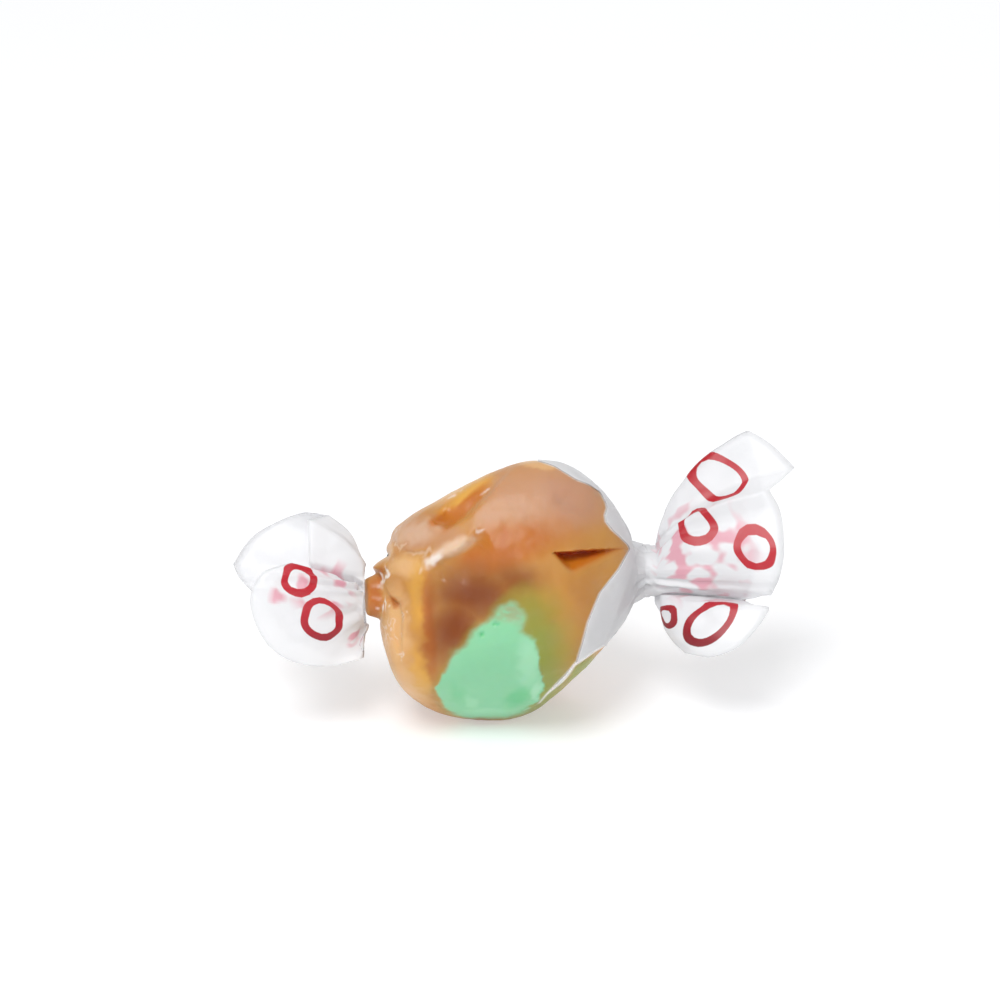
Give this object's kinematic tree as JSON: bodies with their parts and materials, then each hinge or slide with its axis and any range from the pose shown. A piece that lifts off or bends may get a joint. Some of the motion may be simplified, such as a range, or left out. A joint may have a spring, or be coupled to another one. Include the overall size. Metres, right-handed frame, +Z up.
{
  "type": "twist-wrapped salt water taffy",
  "caption": "Soft caramel taffy lump with a mint core, wrapped in a waxed paper sheet twisted shut at both ends, with fanned paper tails.",
  "frame": {"origin": "on the flat spot that the wrapped sweet rests on, under the centre of the lump", "axes": "+X along the wrapper from the left tail to the right tail, +Y away from the side where the mint core shows, +Z up"},
  "size_m": [0.0557, 0.0251, 0.0272],
  "materials": {
    "caramel_taffy": "soft glossy sugar mass",
    "mint_taffy": "soft satin sugar mass",
    "waxed_paper": "thin translucent waxed paper, glossy where it clings"
  },
  "bodies": {
    "root": {"caramel_taffy": "caramel_taffy", "mint_taffy": "mint_taffy", "wrapper": "waxed_paper"}
  },
  "joints": []
}
